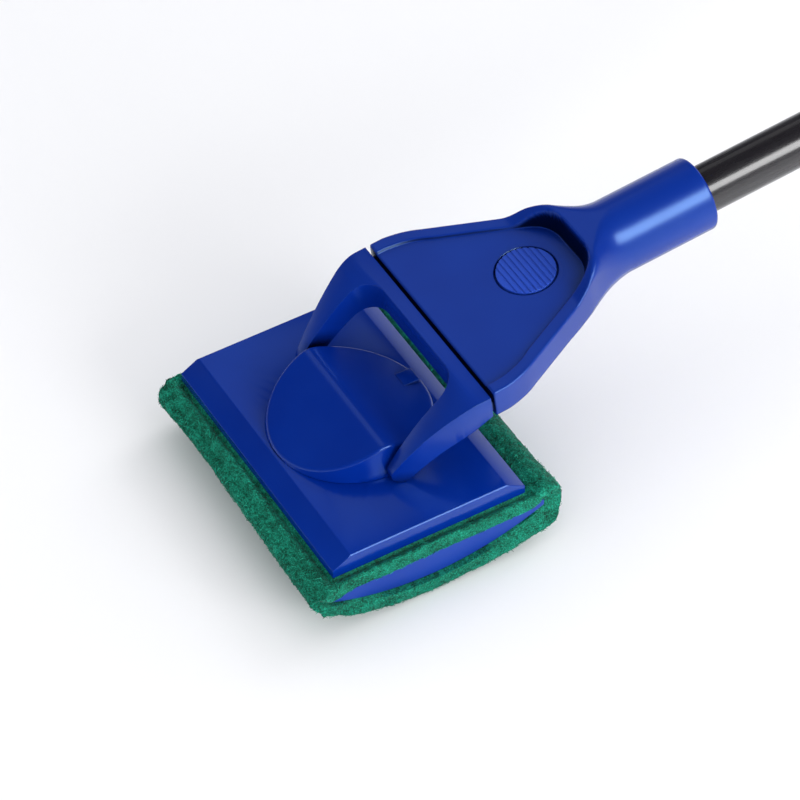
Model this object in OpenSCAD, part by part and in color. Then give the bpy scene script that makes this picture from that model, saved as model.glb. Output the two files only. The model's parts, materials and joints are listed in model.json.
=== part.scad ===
// Scrub-pad head on a quick-release pole, for cleaning aquarium glass.
// The origin is on the pad's lowest line, under the centre of the clamp plate.
// +X runs towards the handle, +Y along the tilt axis and +Z up. All sizes are in millimetres.

/* [Clamp plate] */
// Plate size across the tilt axis
plate_w = 63.6; // [63:0.2:65]
// Plate size along the tilt axis
plate_l = 91; // [88:1:92]
// Plate thickness
plate_t = 6.4; // [6.2:0.1:7]
// Width of the bevel along each long edge
bevel_w = 6; // [4:0.5:6]
// Height of that bevel
bevel_h = 3.5; // [2.5:0.1:3.8]
// Bevel along each short edge
end_bevel = 0.4; // [0.3:0.1:1.2]

/* [Pad and core] */
// Half width of the lens-shaped core
core_half_w = 36.8; // [36:0.2:38]
// Core length along the tilt axis
core_l = 96; // [94:1:98]
// Core height at its middle
core_h = 10; // [9.5:0.5:11]
// Thickness of the core's long edges
core_edge = 1.8; // [1.4:0.1:2.2]
// Thickness of the pad round the core
pad_t = 5.5; // [5:0.1:6]
// Thickness of the pad clamped under the plate
pad_clamped_t = 3.6; // [3.4:0.1:4]
// Pad length along the tilt axis
pad_l = 97; // [95:1:99]

/* [Turret] */
// Radius of the round turret at its foot
turret_r = 25; // [24.5:0.1:25]
// How much narrower the turret is at the height of its ridge
turret_draft = 2; // [0:0.1:2.4]
// Height of its ridge over the plate
ridge_h = 11.4; // [11:0.1:12]
// Height of its rim on the handle side
rim_h = 3.5; // [3:0.1:4]
// Height of its rim on the far side
front_h = 1; // [0.8:0.1:1.4]
// Radius of the spigot that turns in the plate
spigot_r = 9; // [8.5:0.1:9]

/* [Tilt joint and yoke] */
// Height of the tilt axis over the plate
pivot_h = 3.4; // [3.4:0.05:3.6]
// Tilt axis, towards the handle from the turret's centre
pivot_x = 0.8; // [0.6:0.1:1]
// Radius of the arm tips round the tilt axis
tip_r = 3.2; // [3:0.05:3.2]
// Radius of the pivot rod
rod_r = 1.5; // [1.3:0.1:1.5]
// Angle of the handle over the plate at rest
handle_tilt = 6; // [4:0.5:8]
// From the tilt axis to the yoke's front face, along the handle
reach = 28.45; // [28:0.05:29]
// From the tilt axis up to the top of the bridge
rise = 21.04; // [20.8:0.01:21.4]
// Half width of the yoke at the bridge
yoke_half_w = 35.8; // [35.4:0.1:36]
// Half width of the yoke at the arm tips
tip_half_w = 28.2; // [28:0.1:28.6]
// Half width between the arms
arm_inner = 25.3; // [25.2:0.1:25.5]

/* [Connector] */
// Half width of the connector at its front
conn_half_w = 35.5; // [35:0.1:36]
// Height of its side walls
side_h = 10.3; // [10:0.1:10.6]
// Wall thickness
wall = 2.2; // [2:0.1:2.4]
// Radius of the pole socket
socket_r = 11.6; // [11.4:0.1:12]
// End of the socket, from the yoke's front face
socket_end = 92; // [90:1:96]
// Drop of the pole axis under the recess floor
pole_drop = 4.3; // [4.1:0.1:4.5]
// Width of the joint line between yoke and connector
joint_gap = 1.2; // [0.7:0.1:1.4]

/* [Release button] */
// Radius of the button
button_r = 8.9; // [8.5:0.1:9]
// Place of the button along the handle
button_x = 33; // [32.5:0.5:33.5]
// Travel of the button
button_travel = 2.4; // [2.2:0.1:2.4]

/* [Pole] */
// Outside radius of the tube
tube_r = 7.45; // [7.3:0.05:7.5]
// Wall of the tube
tube_wall = 1; // [0.8:0.1:1.2]
// Length of the tube
tube_l = 230; // [150:10:400]

/* [Hidden] */
$fn = 64;

blue = [0.08, 0.24, 0.62];
green = [0.10, 0.48, 0.34];
black = [0.10, 0.10, 0.11];
steel = [0.72, 0.73, 0.75];
grey_rubber = [0.20, 0.20, 0.21];

run_gap = 0.05;  // radial clearance of a part that turns
set_gap = 0.03;  // radial clearance of a part that is fixed
pad_gap = 0.1;   // between the pad and what it touches
past = 1;        // how far a cutter runs past what it cuts
arc_steps = 12;  // points along one rounded stretch of an outline

core_bottom = pad_t;
core_top = core_bottom + core_h;
plate_bottom = core_top + pad_clamped_t;
plate_top = plate_bottom + plate_t;

neck_w = 10;       // rib under the plate that stands on the core, through the pad's slit
neck_l = 76;
core_screw_y = [-33, -20, 20, 33];
core_screw_r = 1.45;
core_head_r = 3;
core_head_h = 2;
core_head_deep = 2;
core_screw_tip = plate_top - 2.1;

ledge_t = 3.8;     // plate left above the retainer's pocket
pocket_r = 12.5;
retainer_r = 11.8;
retainer_t = 1.4;
spigot_play = 0.15;
swivel_gap = 0.1;  // between the turret and the plate
swivel_screw_y = 5.5;
swivel_screw_r = 1.1;
swivel_head_r = 2;
swivel_head_h = 0.9;
swivel_screw_top = plate_top + 1.1;
spigot_bottom = plate_top - ledge_t - spigot_play;
ring_r = 16;
ring_w = 2;
ring_deep = 1;
ridge_x = -0.9;
block_x = 18;      // small block on the handle side of the turret
block_w = 5.5;
block_top = 5;

pivot_z = plate_top + pivot_h;
rod_half = 27;
rod_socket = 27.1;

front_x = joint_gap / 2;
arm_top_angle = 148;   // where the arms' upper curve leaves the round tip
arm_low_angle = 310;   // and where the lower one does
bridge_bend = [[-4.5, 0], [-8, 0], [-12.6, -2.9]];  // control points where the bridge's top turns down
shoulder = [[-3, 0], [-8, 0], [-13, 1.7]];          // and where its side turns in, from the half width
arm_top_bend = [-22.6, -9.1];
arm_low_bend = [-16, -13.2];
bridge_h = 7.8;
bridge_w = 4.8;
window_r = 8;
lip_half_w = 34.5; // lip that closes the joint line from below
lip_top = -3.6;
lip_bottom = -7;
lip_gap = 0.15;
tongue_top = -2.9;
tongue_t = 2.6;
tongue_half_w = 20;
tongue_end = 20;
tongue_gap = 0.15;
catch_x = 10.5;
catch_l = 5;
catch_half_w = 7;
catch_gap = 0.25;
catch_top = -3.6;

floor_t = wall;
border_h = 0.9;    // the edge round the recess stands this far over its floor
side_bottom = border_h - side_h;
conn_bend = [[5, 0], [11.5, 0.9], [16, 3.5]];       // control points of the rounded front corners
recess_bend = [[3, 4.5], [11, 5], [17, 9]];         // and of the recess, in front
recess_back = [[42, 21.1], [47.5, 23.8], [48, 30]]; // and at its back
taper = 0.486;     // how fast the sides draw in towards the neck
taper_stretch = 1.1;  // a wall along those slanting sides measures this much more across
cavity_end = 45;
cover_t = 2;
cover_top = -8.4;
cover_gap = 0.15;
belly_start = 6.5;
belly_end = cavity_end - wall - past;
belly_half_w = 10;
belly_wall = 1.6;
belly_play = 1;    // left under the button's stem when it is pressed
boss_at = [[8, 25.5], [8, -25.5], [37, 14.6], [37, -14.6]];
boss_r = 3;
cover_screw_r = 1.25;
cover_screw_tip = -3.4;
cover_head_r = 2.4;
cover_head_h = 1.2;

button_top = 0.3;
flange_r = 10.6;
flange_top = -floor_t - 0.3;
flange_bottom = -3.6;
button_gap = 0.5;
stem_r = 4.4;
stem_bottom = -8;
belly_bottom = stem_bottom - button_travel - belly_play - belly_wall;
latch_top = -6;
latch_bottom = -7.6;
latch_end = 39.8;
spring_room_r = 3.2;
spring_top = -1.85;
spring_r = 2.6;
wire_r = 0.25;
spring_turns = 6;
rib_pitch = 1.7;
rib_groove = 0.5;
rib_deep = 0.25;

neck_start = 39;
neck_half_w = 20.6;
waist_x = 51;
waist_half_w = 15.3;
waist_top = 6.8;
waist_bottom = -13.4;
waist_top_r = 6.2;
waist_low_r = 7;
neck_end = 62;
slice = 0.2;       // thickness of a section that a hull runs between
socket_chamfer = 1;

socket_start = 50;
tube_start = socket_start + 1;
tube_end = tube_start + tube_l;
tube_bore = tube_r - tube_wall;
sized_r = tube_r - 0.25;      // the tube inside the socket, and the collar and cap at its far end
plug_l = 24;
pole_screw_x = 68;
pole_screw_r = 1.3;
pole_head_r = 2.6;
pole_head_h = 1.8;
pole_screw_tip = 1;   // its point stops this far short of the pole's axis
insert_l = 25;
collar_l = 3;
thread_r = 4;
thread_l = 18;
seal_t = 1;
seal_inset = 0.2;
cap_l = 14;
cap_chamfer_l = 2;
cap_chamfer_w = 1;
tab_l = 21.5;
tab_t = 6;
tab_r = 6.5;
hang_r = 3;

insert_end = tube_end + collar_l;
cap_start = insert_end + seal_t;
cap_end = cap_start + cap_l;
hang_x = cap_end + tab_l - tab_r;

// Points on a quadratic curve from a to c that leaves and arrives towards b.
function curve(a, b, c, n = arc_steps) =
    [for (i = [0:n]) let (t = i / n) (1 - t) * (1 - t) * a + 2 * t * (1 - t) * b + t * t * c];

// Points on a round stretch.
function arc(centre, r, from, to, n = arc_steps) =
    [for (i = [0:n]) let (a = from + (to - from) * i / n) centre + r * [cos(a), sin(a)]];

// Adds the mirror image of a half outline, so that y runs from plus to minus.
function both_sides(half) =
    concat(half, [for (i = [len(half) - 1:-1:0]) [half[i][0], -half[i][1]]]);

// A point of an outline, given by its place along the handle and its distance in from the half width w.
function inward(p, d = 0, w = conn_half_w) = [p[0], w - p[1] - d];

// Half of the connector's outline seen from above, drawn in by d.
function conn_half(d, start, end) =
    concat([inward([start, 0], d)],
           curve(inward(conn_bend[0], d), inward(conn_bend[1], d), inward(conn_bend[2], d * taper_stretch)),
           [inward([end, conn_bend[2][1] + (end - conn_bend[2][0]) * taper], d * taper_stretch)]);

// Half of the recess in the connector's top.
recess_half =
    concat([inward([front_x - past, recess_bend[0][1]])],
           curve(inward(recess_bend[0]), inward(recess_bend[1]), inward(recess_bend[2])),
           curve(inward(recess_back[0]), inward(recess_back[1]), inward(recess_back[2])));

// Puts a shape given in the handle's own frame in place. There x runs along the handle from the
// joint line, and z is measured from the recess floor.
module on_handle()
    translate([pivot_x, 0, pivot_z])
        rotate([0, -handle_tilt, 0])
            translate([reach, 0, rise])
                children();

// Puts a shape given round the pole's axis in place, with z along the pole.
module on_pole(x = 0)
    on_handle()
        round_from(x)
            children();

// Extrudes an outline drawn in x and z along y, centred.
module along_y(l)
    translate([0, l / 2, 0])
        rotate([90, 0, 0])
            linear_extrude(l)
                children();

// Extrudes an outline drawn in x and y from z = low to z = high.
module between(low, high)
    translate([0, 0, low])
        linear_extrude(high - low)
            children();

// Cross-section of the core, drawn in x and z.
module core_section() {
    sag = core_h - core_edge;
    r = (core_half_w * core_half_w + sag * sag) / (2 * sag);
    half_angle = asin(core_half_w / r);
    polygon(concat([[-core_half_w, core_top], [core_half_w, core_top]],
                   arc([0, core_bottom + r], r, -90 + half_angle, -90 - half_angle, 3 * arc_steps)));
}

module scouring_pad()
    color(green)
        difference() {
            intersection() {
                along_y(pad_l) offset(r = pad_t) core_section();
                translate([-plate_w, -pad_l, -past])
                    cube([2 * plate_w, 2 * pad_l, plate_bottom - pad_gap + past]);
            }
            along_y(pad_l + 2 * past) offset(delta = pad_gap) core_section();
            translate([-neck_w / 2 - pad_gap, -neck_l / 2 - pad_gap, core_top - past])
                cube([neck_w + 2 * pad_gap, neck_l + 2 * pad_gap, pad_clamped_t + 2 * past]);
        }

module pad_core()
    color(blue)
        difference() {
            along_y(core_l) core_section();
            for (y = core_screw_y)
                translate([0, y, 0]) {
                    translate([0, 0, core_bottom - past])
                        cylinder(r = core_head_r + run_gap, h = past + core_head_deep + core_head_h);
                    translate([0, 0, core_bottom])
                        cylinder(r = core_screw_r + run_gap, h = core_h + past);
                }
        }

module core_screws()
    color(steel)
        for (y = core_screw_y)
            translate([0, y, core_bottom + core_head_deep]) {
                difference() {
                    cylinder(r = core_head_r, h = core_head_h);
                    translate([0, 0, -past]) cylinder(r = core_head_r / 2, h = core_head_h - 1 + past, $fn = 6);
                }
                cylinder(r = core_screw_r, h = core_screw_tip - core_bottom - core_head_deep);
            }

module clamp_plate()
    color(blue)
        difference() {
            union() {
                intersection() {
                    along_y(plate_l)
                        polygon([[-plate_w / 2, plate_bottom], [plate_w / 2, plate_bottom],
                                 [plate_w / 2, plate_top - bevel_h], [plate_w / 2 - bevel_w, plate_top],
                                 [bevel_w - plate_w / 2, plate_top], [-plate_w / 2, plate_top - bevel_h]]);
                    rotate([0, 0, 90])
                        along_y(plate_w)
                            polygon([[-plate_l / 2, plate_bottom], [plate_l / 2, plate_bottom],
                                     [plate_l / 2, plate_top - end_bevel], [plate_l / 2 - end_bevel, plate_top],
                                     [end_bevel - plate_l / 2, plate_top],
                                     [-plate_l / 2, plate_top - end_bevel]]);
                }
                translate([-neck_w / 2, -neck_l / 2, core_top]) cube([neck_w, neck_l, pad_clamped_t + past]);
            }
            translate([0, 0, core_top]) cylinder(r = spigot_r + run_gap, h = plate_top - core_top + past);
            translate([0, 0, core_top - past])
                cylinder(r = pocket_r, h = plate_top - ledge_t - core_top + past);
            ring_groove(plate_top - ring_deep);
            for (y = core_screw_y)
                translate([0, y, core_top - past])
                    cylinder(r = core_screw_r + set_gap, h = core_screw_tip - core_top + past + set_gap);
        }

// Groove for the friction ring, one ring's thickness and a little play high, from z = low.
module ring_groove(low)
    translate([0, 0, low])
        difference() {
            cylinder(r = ring_r + run_gap, h = 2 * ring_deep + swivel_gap);
            translate([0, 0, -past])
                cylinder(r = ring_r - ring_w - run_gap, h = 2 * ring_deep + swivel_gap + 2 * past);
        }

module friction_ring()
    color(grey_rubber)
        translate([0, 0, plate_top - ring_deep + run_gap])
            difference() {
                cylinder(r = ring_r, h = 2 * ring_deep);
                translate([0, 0, -past]) cylinder(r = ring_r - ring_w, h = 2 * ring_deep + 2 * past);
            }

// The turret seen along the tilt axis: a straight slope in front of the ridge, a hollow one behind.
module turret_profile() {
    base = plate_top + swivel_gap;
    front_top = plate_top + front_h;
    ridge_z = plate_top + ridge_h;
    polygon(concat([[-turret_r, base], [turret_r, base], [turret_r, plate_top + rim_h]],
                   curve([turret_r, plate_top + rim_h], [11.5, plate_top + 5.9], [ridge_x + 2, ridge_z - 0.9]),
                   curve([ridge_x + 2, ridge_z - 0.9], [ridge_x, ridge_z + 0.2], [ridge_x - 1.7, ridge_z - 0.6]),
                   [[-turret_r, front_top]]));
}

module swivel_turret()
    color(blue)
        difference() {
            union() {
                intersection() {
                    along_y(2 * turret_r) turret_profile();
                    translate([0, 0, plate_top])
                        cylinder(r1 = turret_r, r2 = turret_r - turret_draft, h = ridge_h + past);
                }
                translate([0, 0, spigot_bottom])
                    cylinder(r = spigot_r, h = plate_top + past - spigot_bottom);
                translate([block_x, 0, plate_top + past]) cube([block_w, block_w, block_top - past]);
            }
            translate([pivot_x, 0, pivot_z])
                rotate([90, 0, 0])
                    cylinder(r = rod_r + run_gap, h = 2 * turret_r + 2 * past, center = true);
            ring_groove(plate_top - ring_deep);
            for (side = [-1, 1])
                translate([0, side * swivel_screw_y, spigot_bottom - past])
                    cylinder(r = swivel_screw_r + set_gap, h = swivel_screw_top - spigot_bottom + past + set_gap);
        }

module swivel_retainer()
    color(steel)
        difference() {
            translate([0, 0, spigot_bottom - retainer_t]) cylinder(r = retainer_r, h = retainer_t);
            for (side = [-1, 1])
                translate([0, side * swivel_screw_y, spigot_bottom - retainer_t - past])
                    cylinder(r = swivel_screw_r + run_gap, h = retainer_t + 2 * past);
        }

module swivel_screws()
    color(steel)
        for (side = [-1, 1])
            translate([0, side * swivel_screw_y, spigot_bottom - retainer_t - swivel_head_h]) {
                difference() {
                    cylinder(r = swivel_head_r, h = swivel_head_h);
                    translate([0, 0, -past])
                        cylinder(r = swivel_head_r / 2, h = swivel_head_h - 0.4 + past, $fn = 6);
                }
                cylinder(r = swivel_screw_r, h = swivel_screw_top - spigot_bottom + retainer_t + swivel_head_h);
            }

module pivot_rod()
    color(steel)
        translate([pivot_x, 0, pivot_z])
            rotate([90, 0, 0])
                cylinder(r = rod_r, h = 2 * rod_half, center = true);

// Half of the yoke's outline seen from above.
function yoke_half() =
    concat([[-front_x, yoke_half_w]],
           curve(inward(shoulder[0], 0, yoke_half_w), inward(shoulder[1], 0, yoke_half_w),
                 inward(shoulder[2], 0, yoke_half_w)),
           [[-reach - tip_r, tip_half_w]]);

// The yoke seen along the tilt axis, in the handle's frame.
module yoke_profile() {
    tip = [-reach, -rise];
    upper = tip + tip_r * [cos(arm_top_angle), sin(arm_top_angle)];
    lower = tip + tip_r * [cos(arm_low_angle), sin(arm_low_angle)];
    polygon(concat([[-front_x, 0]],
                   curve(bridge_bend[0], bridge_bend[1], bridge_bend[2]),
                   curve(bridge_bend[2], arm_top_bend, upper),
                   arc(tip, tip_r, arm_top_angle, arm_low_angle),
                   curve(lower, arm_low_bend, [-front_x, -bridge_h])));
}

// The opening between the arms, seen from above: rounded where it meets the bridge.
module yoke_window() {
    end = -reach - 2 * tip_r;
    translate([end, -arm_inner]) square([-bridge_w - window_r - end, 2 * arm_inner]);
    translate([end, window_r - arm_inner]) square([-bridge_w - end, 2 * (arm_inner - window_r)]);
    for (side = [-1, 1])
        translate([-bridge_w - window_r, side * (arm_inner - window_r)]) circle(r = window_r);
}

module yoke()
    color(blue)
        on_handle()
            difference() {
                union() {
                    difference() {
                        intersection() {
                            along_y(2 * yoke_half_w) yoke_profile();
                            between(-rise - 2 * tip_r, past)
                                polygon(both_sides(yoke_half()));
                        }
                        between(-rise - 2 * tip_r, past) yoke_window();
                        rod_sockets();
                    }
                    translate([-front_x - past, -lip_half_w, lip_bottom])
                        cube([2 * front_x + past - lip_gap, 2 * lip_half_w, lip_top - lip_bottom]);
                    translate([-front_x - past, -tongue_half_w, tongue_top - tongue_t])
                        cube([tongue_end + front_x + past, 2 * tongue_half_w, tongue_t]);
                }
                translate([catch_x - catch_gap, -catch_half_w - catch_gap, tongue_top - tongue_t - past])
                    cube([catch_l + 2 * catch_gap, 2 * (catch_half_w + catch_gap), tongue_t + 2 * past]);
            }

// Blind holes in the arms that hold the ends of the pivot rod.
module rod_sockets()
    translate([-reach, 0, -rise])
        rotate([90, 0, 0])
            cylinder(r = rod_r + set_gap, h = 2 * rod_socket, center = true);

// Solid stretch of the connector from its wide front to the round socket.
module neck() {
    hull() {
        translate([neck_start, -neck_half_w, side_bottom]) cube([slice, 2 * neck_half_w, side_h]);
        waist();
    }
    hull() {
        waist();
        round_from(neck_end) cylinder(r = socket_r, h = slice);
    }
    round_from(neck_end) cylinder(r = socket_r, h = socket_end - neck_end - socket_chamfer);
    round_from(socket_end - socket_chamfer)
        cylinder(r1 = socket_r, r2 = socket_r - socket_chamfer, h = socket_chamfer);
}

// Puts a shape round the pole's axis, within the handle's frame.
module round_from(x)
    translate([x, 0, -pole_drop])
        rotate([0, 90, 0])
            children();

// The section between the wide front and the socket: a barrel with round corners.
module waist()
    for (side = [-1, 1])
        translate([waist_x, side * (waist_half_w - waist_low_r), 0])
            rotate([0, 90, 0]) {
                translate([waist_top_r - waist_top, 0, 0]) cylinder(r = waist_top_r, h = slice, $fn = 32);
                translate([-waist_low_r - waist_bottom, 0, 0]) cylinder(r = waist_low_r, h = slice, $fn = 32);
            }

module connector_shell()
    color(blue)
        difference() {
            on_handle()
                difference() {
                    union() {
                        difference() {
                            union() {
                                between(side_bottom, border_h)
                                    polygon(both_sides(conn_half(0, front_x, cavity_end)));
                                neck();
                            }
                            between(0, socket_r) polygon(both_sides(recess_half));
                            between(-2 * socket_r, -floor_t)
                                polygon(both_sides(conn_half(wall, front_x + wall, cavity_end - wall)));
                            translate([button_x, 0, cover_top])
                                cylinder(r = flange_r + button_gap, h = -floor_t - cover_top);
                        }
                        for (p = boss_at)
                            translate([p[0], p[1], cover_top]) cylinder(r = boss_r, h = -floor_t - cover_top);
                    }
                    translate([0, -tongue_half_w - tongue_gap, tongue_top - tongue_t - tongue_gap])
                        cube([wall + front_x + past, 2 * (tongue_half_w + tongue_gap), tongue_t + 2 * tongue_gap]);
                    translate([button_x, 0, -floor_t - past])
                        cylinder(r = button_r + button_gap, h = floor_t + 2 * past);
                    for (p = boss_at)
                        translate([p[0], p[1], cover_top - past])
                            cylinder(r = cover_screw_r + set_gap, h = past + cover_screw_tip - cover_top + set_gap);
                }
            on_pole(socket_start) cylinder(r = sized_r + set_gap, h = socket_end - socket_start + past);
            on_handle() pole_screw_hole(socket_r + past);
            on_handle()
                translate([pole_screw_x, 0, -pole_drop - socket_r - past])
                    cylinder(r = pole_head_r + run_gap, h = past + pole_head_h);
        }

// Radial hole for the pole screw, from below, down to depth d under the pole's axis.
module pole_screw_hole(d)
    translate([pole_screw_x, 0, -pole_drop - d]) cylinder(r = pole_screw_r + set_gap, h = d - pole_screw_tip);

module connector_cover()
    color(blue)
        on_handle()
            difference() {
                union() {
                    between(cover_top - cover_t, cover_top)
                        polygon(both_sides(conn_half(wall + cover_gap, front_x + wall + cover_gap,
                                                     cavity_end - wall - cover_gap)));
                    translate([belly_start, -belly_half_w, belly_bottom])
                        cube([belly_end - belly_start, 2 * belly_half_w, cover_top - belly_bottom]);
                }
                translate([belly_start + belly_wall, belly_wall - belly_half_w, belly_bottom + belly_wall])
                    cube([belly_end - belly_start - 2 * belly_wall, 2 * (belly_half_w - belly_wall),
                          cover_top - belly_bottom]);
                for (p = boss_at)
                    translate([p[0], p[1], cover_top - cover_t]) {
                        translate([0, 0, -past]) cylinder(r = cover_screw_r + run_gap, h = cover_t + 2 * past);
                        translate([0, 0, -set_gap])
                            cylinder(r1 = cover_head_r + set_gap, r2 = cover_screw_r + set_gap,
                                     h = cover_head_h + 2 * set_gap);
                    }
            }

module cover_screws()
    color(steel)
        on_handle()
            for (p = boss_at)
                translate([p[0], p[1], cover_top - cover_t]) {
                    difference() {
                        cylinder(r1 = cover_head_r, r2 = cover_screw_r, h = cover_head_h);
                        translate([0, 0, -past]) cylinder(r = 1, h = past + 0.7, $fn = 6);
                    }
                    cylinder(r = cover_screw_r, h = cover_screw_tip - cover_top + cover_t);
                }

module release_button()
    color(blue)
        on_handle()
            translate([button_x, 0, 0])
                difference() {
                    union() {
                        translate([0, 0, flange_bottom]) cylinder(r = button_r, h = button_top - flange_bottom);
                        translate([0, 0, flange_bottom]) cylinder(r = flange_r, h = flange_top - flange_bottom);
                        translate([0, 0, stem_bottom]) cylinder(r = stem_r, h = flange_top - stem_bottom);
                    }
                    translate([0, 0, stem_bottom - past])
                        cylinder(r = spring_room_r, h = spring_top - stem_bottom + past);
                    for (i = [-4:4])
                        translate([i * rib_pitch - rib_groove / 2, -button_r, button_top - rib_deep])
                            cube([rib_groove, 2 * button_r, rib_deep + past]);
                }

module latch_plate()
    color(steel)
        on_handle()
            difference() {
                union() {
                    translate([catch_x, -catch_half_w, latch_bottom])
                        cube([latch_end - catch_x, 2 * catch_half_w, latch_top - latch_bottom]);
                    translate([catch_x, -catch_half_w, latch_bottom])
                        cube([catch_l, 2 * catch_half_w, catch_top - latch_bottom]);
                }
                translate([button_x, 0, latch_bottom - past])
                    cylinder(r = stem_r + set_gap, h = latch_top - latch_bottom + 2 * past);
            }

// Round wire wound in a helix about z, from z = low to z = high.
module coil(r, wire, low, high, turns) {
    steps_per_turn = 20;
    sides = 8;
    n = turns * steps_per_turn;
    lift = high - low - 2 * wire;
    points = [for (i = [0:n], k = [0:sides - 1])
                  let (turn = 360 * i / steps_per_turn, round = 360 * k / sides, out = r + wire * cos(round))
                      [out * cos(turn), out * sin(turn), low + wire + lift * i / n + wire * sin(round)]];
    walls = [for (i = [0:n - 1], k = [0:sides - 1])
                 let (next = (k + 1) % sides)
                     [i * sides + k, i * sides + next, (i + 1) * sides + next, (i + 1) * sides + k]];
    start = [for (k = [sides - 1:-1:0]) k];
    finish = [for (k = [0:sides - 1]) n * sides + k];
    polyhedron(points, concat([for (f = concat(walls, [start, finish])) [for (j = [len(f) - 1:-1:0]) f[j]]]));
}

module button_spring()
    color(steel)
        on_handle()
            translate([button_x, 0, 0])
                coil(spring_r, wire_r, belly_bottom + belly_wall + set_gap, spring_top - set_gap, spring_turns);

module pole_tube()
    color(black)
        difference() {
            union() {
                on_pole(tube_start) cylinder(r = sized_r, h = tube_l);
                on_pole(socket_end) cylinder(r = tube_r, h = tube_end - socket_end);
            }
            on_pole(tube_start - past) cylinder(r = tube_bore, h = tube_l + 2 * past);
            on_handle() pole_screw_hole(tube_r + past);
        }

module tube_plug()
    color(black)
        difference() {
            on_pole(tube_start + past) cylinder(r = tube_bore - set_gap, h = plug_l);
            on_handle() pole_screw_hole(tube_r);
        }

module pole_screw()
    color(steel)
        on_handle()
            translate([pole_screw_x, 0, -pole_drop - socket_r]) {
                difference() {
                    cylinder(r = pole_head_r, h = pole_head_h);
                    translate([0, 0, -past]) cylinder(r = pole_head_r / 2, h = past + 1, $fn = 6);
                }
                cylinder(r = pole_screw_r, h = socket_r - pole_screw_tip - set_gap);
            }

module joiner_insert()
    color(black)
        difference() {
            union() {
                on_pole(tube_end - insert_l) cylinder(r = tube_bore - set_gap, h = insert_l + collar_l);
                on_pole(tube_end) cylinder(r = sized_r, h = collar_l);
            }
            on_pole(insert_end - thread_l) cylinder(r = thread_r, h = thread_l + past);
        }

module cap_seal()
    color(grey_rubber)
        difference() {
            on_pole(insert_end) cylinder(r = sized_r - seal_inset, h = seal_t);
            on_pole(insert_end - past) cylinder(r = thread_r + pad_gap, h = seal_t + 2 * past);
        }

module end_cap()
    color(black)
        difference() {
            union() {
                on_pole(insert_end - thread_l + past)
                    cylinder(r = thread_r - run_gap, h = thread_l + seal_t);
                on_pole(cap_start) cylinder(r = sized_r, h = cap_l - cap_chamfer_l);
                on_pole(cap_end - cap_chamfer_l)
                    cylinder(r1 = sized_r, r2 = sized_r - cap_chamfer_w, h = cap_chamfer_l);
                on_handle()
                    translate([0, 0, -pole_drop])
                        along_y(tab_t) {
                            translate([cap_end - cap_chamfer_l - past, -tab_r])
                                square([hang_x - cap_end + cap_chamfer_l + past, 2 * tab_r]);
                            translate([hang_x, 0]) circle(r = tab_r);
                        }
            }
            on_handle()
                translate([hang_x, 0, -pole_drop])
                    rotate([90, 0, 0])
                        cylinder(r = hang_r, h = tab_t + 2 * past, center = true);
        }

scouring_pad();
pad_core();
core_screws();
clamp_plate();
swivel_turret();
swivel_retainer();
swivel_screws();
friction_ring();
pivot_rod();
yoke();
connector_shell();
connector_cover();
cover_screws();
release_button();
latch_plate();
button_spring();
pole_tube();
tube_plug();
pole_screw();
joiner_insert();
cap_seal();
end_cap();
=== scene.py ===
"""Looks for a scrub-pad head on a quick-release pole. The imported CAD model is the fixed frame."""
import json
import math

import bmesh
import bpy
import numpy as np
from mathutils import Matrix, Vector


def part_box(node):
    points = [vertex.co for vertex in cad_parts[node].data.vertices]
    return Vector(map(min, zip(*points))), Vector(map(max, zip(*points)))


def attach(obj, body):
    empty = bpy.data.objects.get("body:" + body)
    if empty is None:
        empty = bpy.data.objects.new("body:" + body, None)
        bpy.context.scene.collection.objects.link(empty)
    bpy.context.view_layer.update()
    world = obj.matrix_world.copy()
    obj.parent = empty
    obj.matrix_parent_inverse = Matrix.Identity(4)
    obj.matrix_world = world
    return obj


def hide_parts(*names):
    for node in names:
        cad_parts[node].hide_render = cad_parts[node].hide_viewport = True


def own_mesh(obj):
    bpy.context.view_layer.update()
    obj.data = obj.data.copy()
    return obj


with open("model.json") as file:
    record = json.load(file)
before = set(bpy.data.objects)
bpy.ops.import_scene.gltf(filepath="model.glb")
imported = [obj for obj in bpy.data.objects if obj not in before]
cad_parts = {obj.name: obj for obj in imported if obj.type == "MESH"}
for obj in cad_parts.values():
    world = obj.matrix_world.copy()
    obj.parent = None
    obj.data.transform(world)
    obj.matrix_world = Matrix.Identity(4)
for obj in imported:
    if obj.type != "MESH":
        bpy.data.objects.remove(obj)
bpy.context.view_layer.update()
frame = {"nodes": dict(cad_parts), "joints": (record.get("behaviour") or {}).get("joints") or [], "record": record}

MM = 0.001
nodes = frame["nodes"]
joints = {j["name"]: j for j in frame["joints"]}

# ---------------------------------------------------------------- places taken from the frame

# The handle's own frame, in millimetres: x along the handle from the joint line between yoke and
# connector, y along the tilt axis, z up from the floor of the connector's recess.
REACH, RISE = 28.45, 21.04          # from the tilt axis to that frame's origin
PIVOT = np.array(joints["head_tilt"]["pos_m"])
PRESS = joints["button_press"]["axis"]
ALONG = np.array([-PRESS[2], 0.0, PRESS[0]])
ACROSS = np.array([0.0, 1.0, 0.0])
UPWARD = -np.array(PRESS)
HANDLE_AT = PIVOT + (REACH * ALONG + RISE * UPWARD) * MM

PLATE_LOW, PLATE_HIGH = (np.array(c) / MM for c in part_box("clamp_plate"))
CORE_LOW, CORE_HIGH = (np.array(c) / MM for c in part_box("pad_core"))
PAD_LOW, PAD_HIGH = (np.array(c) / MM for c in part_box("scouring_pad"))
PAD_THICK = CORE_LOW[2] - PAD_LOW[2]
LID = PLATE_LOW[2] + 3.6            # the plate's wide underside, which starts above its narrow neck


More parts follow.
